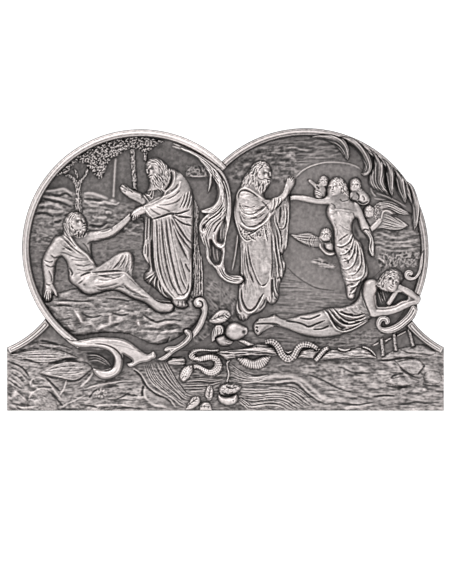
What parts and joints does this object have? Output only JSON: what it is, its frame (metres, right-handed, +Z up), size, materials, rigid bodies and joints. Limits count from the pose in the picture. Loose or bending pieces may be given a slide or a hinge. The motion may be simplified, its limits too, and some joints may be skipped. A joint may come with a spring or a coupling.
{
  "type": "relief plaque",
  "caption": "Free-standing relief plaque: overlapping round medallions on a plinth, with robed and reclining figures, acanthus scrolls, a snake on a branch and fruit.",
  "frame": {"origin": "middle of the flat base, on the plane where the relief meets the back plate", "axes": "+X to the viewer's right along the base, the relief faces -Y, +Z up"},
  "size_m": [0.08, 0.006, 0.0517],
  "materials": {
    "plain_silver": "plain satin silver back plate with a light tarnish",
    "oxidised_silver": "matt oxidised silver fields with fine tooling lines",
    "burnished_silver": "antiqued silver, dark oxide in the recesses and burnished high points"
  },
  "bodies": {
    "root": {"back_plate": "plain_silver", "branch": "burnished_silver", "c_scroll": "burnished_silver", "centre_acanthus": "burnished_silver", "cherub_1": "burnished_silver", "cherub_2": "burnished_silver", "cherub_3": "burnished_silver", "cherub_4": "burnished_silver", "fence": "burnished_silver", "fruit_stem": "burnished_silver", "left_field": "oxidised_silver", "left_ground": "burnished_silver", "left_rim": "burnished_silver", "left_robed_figure": "burnished_silver", "left_shoulder_moulding": "burnished_silver", "lower_fruit_1": "burnished_silver", "lower_fruit_2": "burnished_silver", "lower_leaf_1": "burnished_silver", "lower_leaf_2": "burnished_silver", "lower_leaf_3": "burnished_silver", "lower_left_scroll": "burnished_silver", "middle_scroll": "burnished_silver", "plinth_field": "oxidised_silver", "plinth_leaf_1": "burnished_silver", "plinth_leaf_2": "burnished_silver", "plinth_leaf_3": "burnished_silver", "plinth_rock": "burnished_silver", "plinth_stones": "burnished_silver", "plume_leaf_1": "burnished_silver", "plume_leaf_2": "burnished_silver", "plume_leaf_3": "burnished_silver", "plume_leaf_4": "burnished_silver", "plume_leaf_5": "burnished_silver", "plume_leaf_6": "burnished_silver", "rear_cloak": "burnished_silver", "right_field": "oxidised_silver", "right_lower_scroll": "burnished_silver", "right_rim": "burnished_silver", "right_robed_figure": "burnished_silver", "right_shoulder_moulding": "burnished_silver", "right_upper_scroll": "burnished_silver", "seated_man": "burnished_silver", "sleeping_man": "burnished_silver", "snake_first_coil": "burnished_silver", "snake_head": "burnished_silver", "snake_second_coil": "burnished_silver", "snake_tail": "burnished_silver", "snake_under_coil": "burnished_silver", "sun_disc": "oxidised_silver", "tree_foliage": "burnished_silver", "tree_trunks": "burnished_silver", "twig": "burnished_silver", "upper_fruit": "burnished_silver", "upper_fruit_behind": "burnished_silver", "upper_leaf_1": "burnished_silver", "upper_leaf_2": "burnished_silver", "woman": "burnished_silver"}
  },
  "joints": []
}
